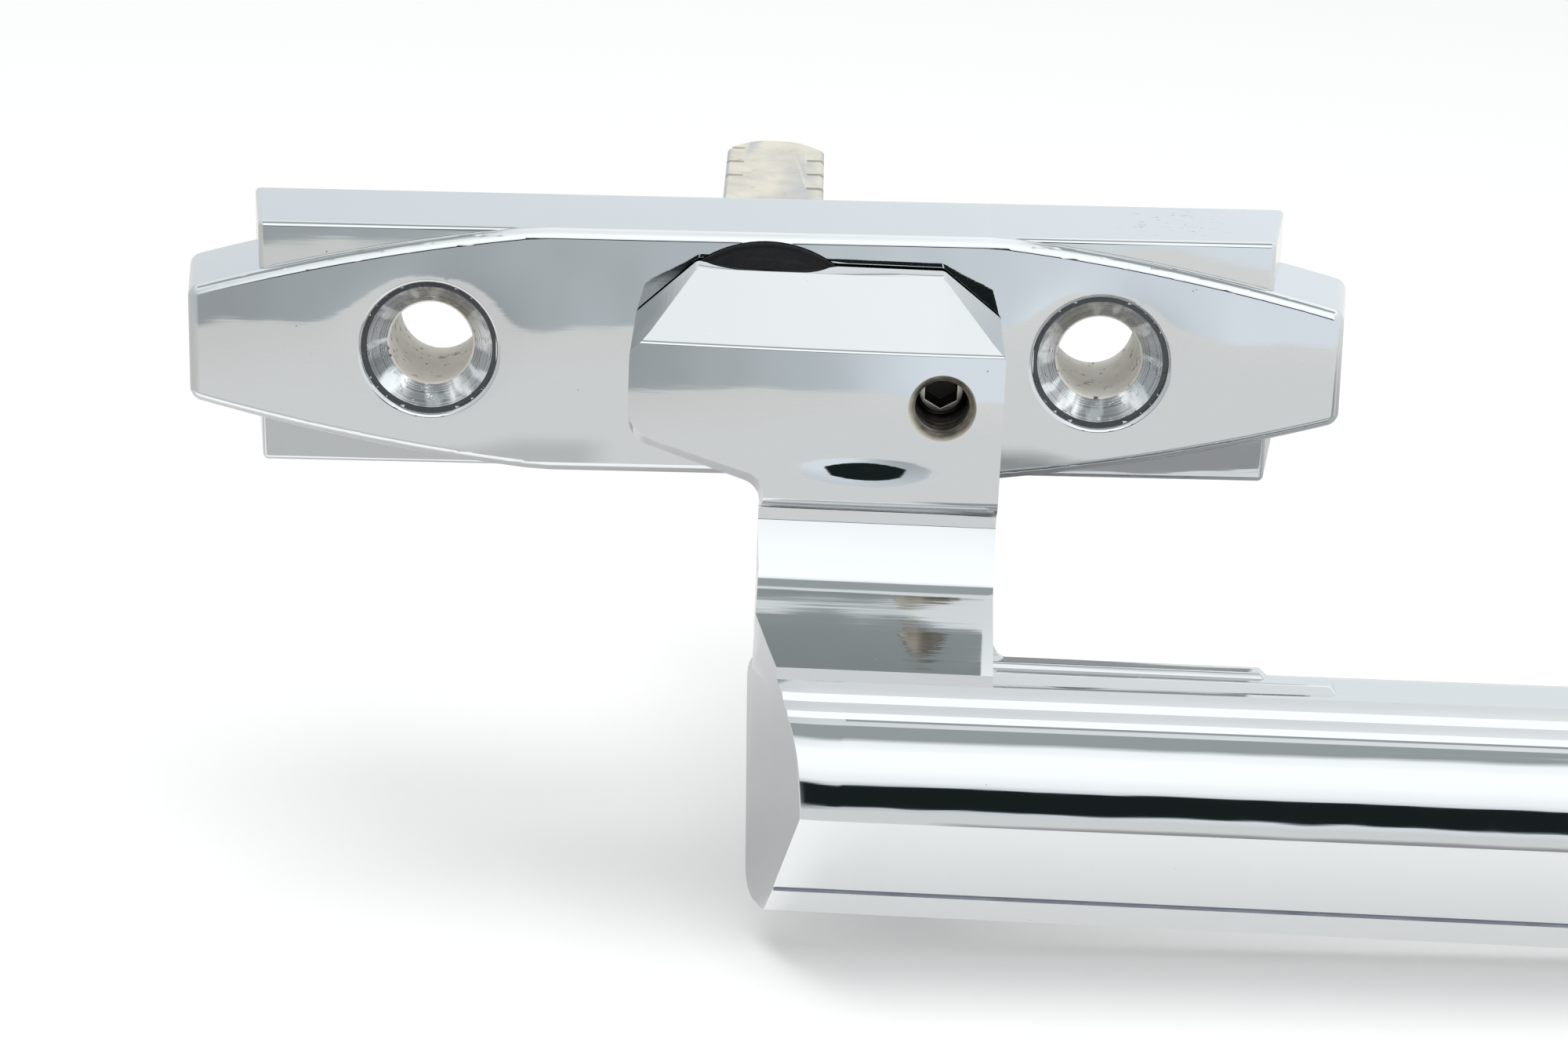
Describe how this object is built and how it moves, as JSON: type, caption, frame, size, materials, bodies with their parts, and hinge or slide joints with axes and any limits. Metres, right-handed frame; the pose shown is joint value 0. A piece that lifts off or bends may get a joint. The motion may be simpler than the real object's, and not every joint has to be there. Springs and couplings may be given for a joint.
{
  "type": "offset locking window handle",
  "caption": "Cranked window handle: a boat-shaped backplate with two countersunk fixing holes, and an offset stepped lever that turns a square spindle and locks with a set screw.",
  "frame": {"origin": "centre of the spindle's end face, on the lever's turning axis, 34.4 mm behind the plane of the backplate's back face", "axes": "+X along the backplate towards the lever's free end, +Y out of the back face into the window along the spindle, +Z across the backplate away from the grip"},
  "size_m": [0.1556, 0.0643, 0.0439],
  "materials": {
    "chrome": "hand-polished bright chrome plate",
    "raw_zinc": "matt ivory passivated casting",
    "black_nylon": "moulded, matt",
    "spring_steel": "oiled, bright",
    "plated_steel": "zinc plated",
    "dark_steel": "black oxide"
  },
  "bodies": {
    "backplate_body": {"backplate": "chrome", "front_bearing": "black_nylon", "thrust_washer": "spring_steel", "detent_spring_left": "spring_steel", "detent_spring_right": "spring_steel", "rear_cover": "plated_steel", "cover_screw_left_lower": "plated_steel", "cover_screw_left_upper": "plated_steel", "cover_screw_right_lower": "plated_steel", "cover_screw_right_upper": "plated_steel"},
    "lever_body": {"lever": "chrome", "spindle": "raw_zinc", "spindle_pin": "spring_steel", "index_cam": "spring_steel", "stop_plate": "spring_steel", "wave_washer": "spring_steel", "flat_washer": "plated_steel", "retaining_clip": "spring_steel"},
    "lock_screw_body": {"lock_screw": "dark_steel"}
  },
  "joints": [
    {"name": "lever_turn", "type": "hinge", "parent": "backplate_body", "child": "lever_body", "pos_m": [0, 0, 0], "axis": [0, -1, 0], "range_deg": [-90, 0], "deforming": ["detent_spring_left", "detent_spring_right"]},
    {"name": "lock_screw_travel", "type": "slide", "parent": "lever_body", "child": "lock_screw_body", "axis": [0, 1, 0], "range_m": [-0.0015, 0.002]}
  ]
}
